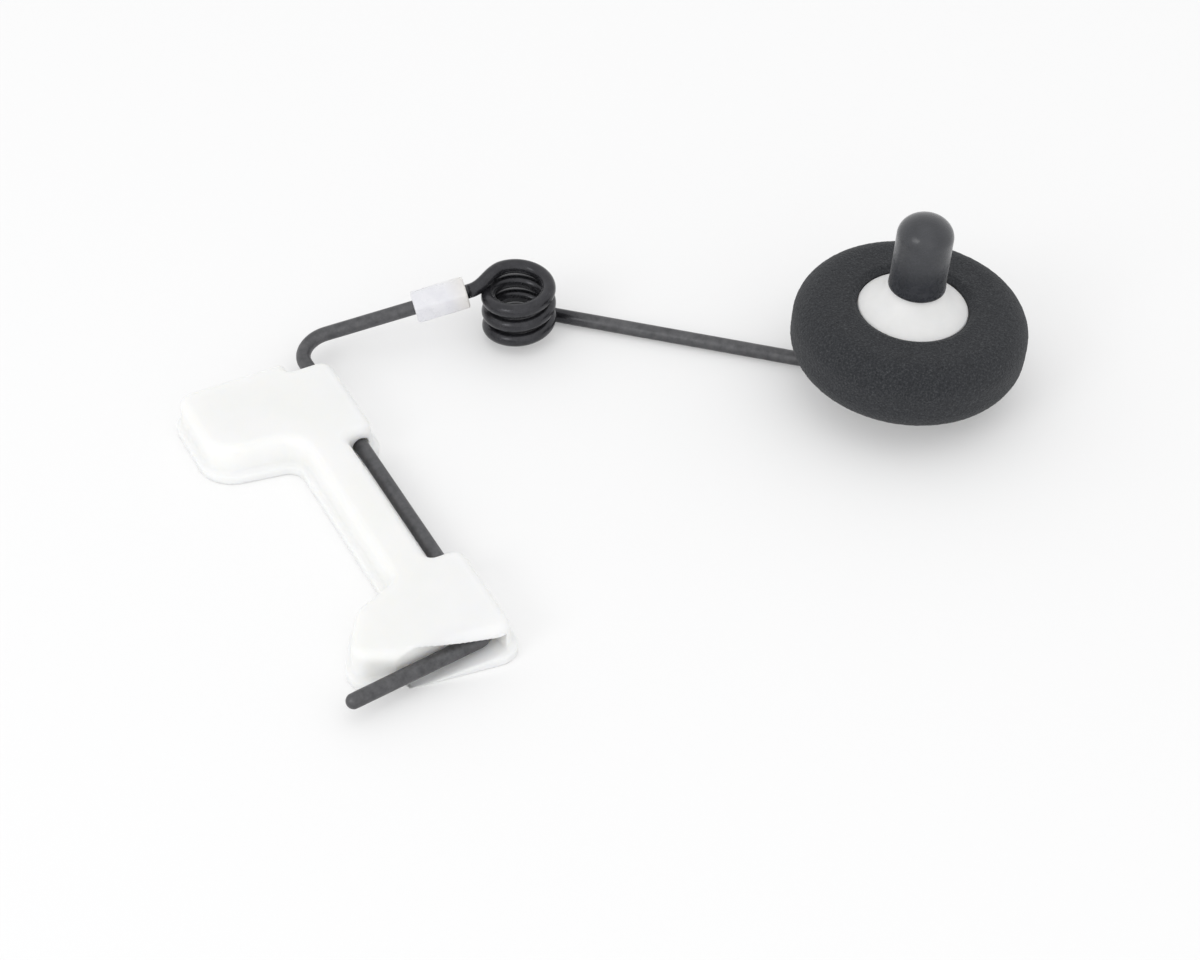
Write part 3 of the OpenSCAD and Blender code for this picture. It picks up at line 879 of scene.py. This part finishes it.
def seen_rays(nodes, links):
    """Value that is 1 for camera, glossy and transmission rays, and 0 for the others."""
    path = nodes.new("ShaderNodeLightPath")
    total = path.outputs["Is Camera Ray"]
    for ray in ("Is Glossy Ray", "Is Transmission Ray"):
        either = nodes.new("ShaderNodeMath")
        either.operation = "MAXIMUM"
        links.new(total, either.inputs[0])
        links.new(path.outputs[ray], either.inputs[1])
        total = either.outputs["Value"]
    return total


def floor():
    """White floor that lets a part of the white background through to the camera."""
    corners = ((-1, -1), (1, -1), (1, 1), (-1, 1))
    points = [(x * FLOOR_SIZE, y * FLOOR_SIZE, FLOOR_LOW) for x, y in corners]
    mesh = bpy.data.meshes.new("floor")
    mesh.from_pydata(points, [], [(0, 1, 2, 3)])
    piece = link("floor", mesh)
    finish = Finish("floor")
    finish.set(Base_Color=FLOOR_COLOUR, Roughness=0.9, Specular_IOR_Level=0.1)
    nodes, links = finish.nodes, finish.links
    through = nodes.new("ShaderNodeMath")
    through.operation = "MULTIPLY"
    through.inputs[1].default_value = FLOOR_CLEAR
    links.new(seen_rays(nodes, links), through.inputs[0])
    clear = nodes.new("ShaderNodeBsdfTransparent")
    mix = nodes.new("ShaderNodeMixShader")
    links.new(through.outputs["Value"], mix.inputs["Fac"])
    links.new(finish.shader.outputs["BSDF"], mix.inputs[1])
    links.new(clear.outputs["BSDF"], mix.inputs[2])
    links.new(mix.outputs["Shader"], nodes["Material Output"].inputs["Surface"])
    mesh.materials.append(finish.material)


def world():
    """White surroundings, a little dimmer as light than as they are seen."""
    sky = bpy.data.worlds.new("studio")
    sky.use_nodes = True
    nodes, links = sky.node_tree.nodes, sky.node_tree.links
    background = nodes["Background"]
    background.inputs["Color"].default_value = (1, 1, 1, 1)
    seen = nodes.new("ShaderNodeMapRange")
    seen.inputs["To Min"].default_value = SKY_LIGHT
    seen.inputs["To Max"].default_value = SKY_SEEN
    links.new(seen_rays(nodes, links), seen.inputs["Value"])
    links.new(seen.outputs["Result"], background.inputs["Strength"])
    bpy.context.scene.world = sky


def lamp(name, place, size, power):
    """A round, soft lamp aimed at the object."""
    data = bpy.data.lights.new(name, "AREA")
    data.shape = "DISK"
    data.size = size
    data.energy = power
    piece = bpy.data.objects.new(name, data)
    bpy.context.scene.collection.objects.link(piece)
    piece.location = place
    piece.rotation_mode = "QUATERNION"
    piece.rotation_quaternion = (LAMP_TARGET - place).to_track_quat("-Z", "Y")


def camera():
    """The camera at the photograph's viewing angle."""
    data = bpy.data.cameras.new("camera")
    data.lens = LENS_MM
    data.sensor_fit = "HORIZONTAL"
    data.sensor_width = SENSOR_MM
    data.clip_start = CLIP_NEAR
    data.clip_end = CLIP_FAR
    piece = bpy.data.objects.new("camera", data)
    bpy.context.scene.collection.objects.link(piece)
    back = Vector((math.sin(VIEW_AZIMUTH) * math.cos(VIEW_ELEVATION),
                   -math.cos(VIEW_AZIMUTH) * math.cos(VIEW_ELEVATION), math.sin(VIEW_ELEVATION)))
    piece.location = VIEW_TARGET + back * VIEW_DISTANCE
    piece.rotation_mode = "QUATERNION"
    piece.rotation_quaternion = (-back).to_track_quat("-Z", "Y")
    bpy.context.scene.camera = piece


bpy.context.scene.view_settings.view_transform = "Standard"
camera()
floor()
world()
for lamp_name, (lamp_place, lamp_size, lamp_power) in LAMPS.items():
    lamp(lamp_name, Vector(lamp_place), lamp_size, lamp_power)

bracket()
wire_finish = spring_wire()
steering_wire(wire_finish)
strut(wire_finish, coil(wire_finish))
sleeve()
hub_finish = hub_plastic()
hub_outer(hub_finish)
hub_inner(hub_finish)
tyre()
cap()
